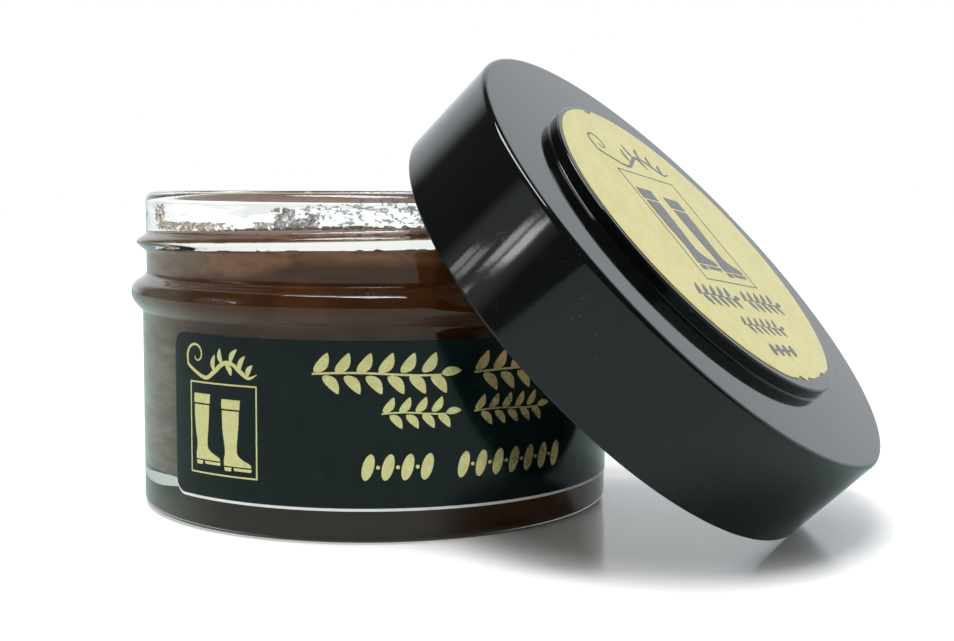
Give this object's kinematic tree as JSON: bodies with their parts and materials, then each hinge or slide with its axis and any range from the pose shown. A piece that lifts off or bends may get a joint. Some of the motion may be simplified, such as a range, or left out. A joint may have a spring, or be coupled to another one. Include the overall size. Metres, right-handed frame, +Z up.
{
  "type": "shoe cream jar",
  "caption": "Low clear glass jar of brown shoe cream with a wrap-round label, open, its black plastic screw lid leaning on the rim.",
  "frame": {"origin": "centre of the jar's base, on the surface the jar stands on", "axes": "+Z up along the jar's axis; +X from the jar towards the foot of the lid, so the lid leans in the XZ plane; +Y by the right-hand rule"},
  "size_m": [0.0862, 0.0586, 0.0502],
  "materials": {
    "clear_glass": "clear, polished",
    "brown_cream": "soft wax cream, satin",
    "dark_label": "gloss laminated, gold foil print",
    "black_plastic": "high gloss, finely scratched",
    "liner_board": "white faced, matt",
    "gold_foil": "metallised, satin, dark print"
  },
  "bodies": {
    "jar": {"glass_jar": "clear_glass", "shoe_cream": "brown_cream", "jar_label": "dark_label"},
    "liner": {"lid_liner": "liner_board"},
    "lid": {"lid_shell": "black_plastic", "lid_label": "gold_foil"}
  },
  "joints": [
    {"name": "lid_lift", "type": "slide", "parent": "jar", "child": "liner", "axis": [0, 0, 1], "range_m": [0, 0.055]},
    {"name": "lid_turn", "type": "hinge", "parent": "liner", "child": "lid", "pos_m": [0.02942, 0, 0.02108], "axis": [0.7226, 0, 0.6913], "continuous": true}
  ]
}
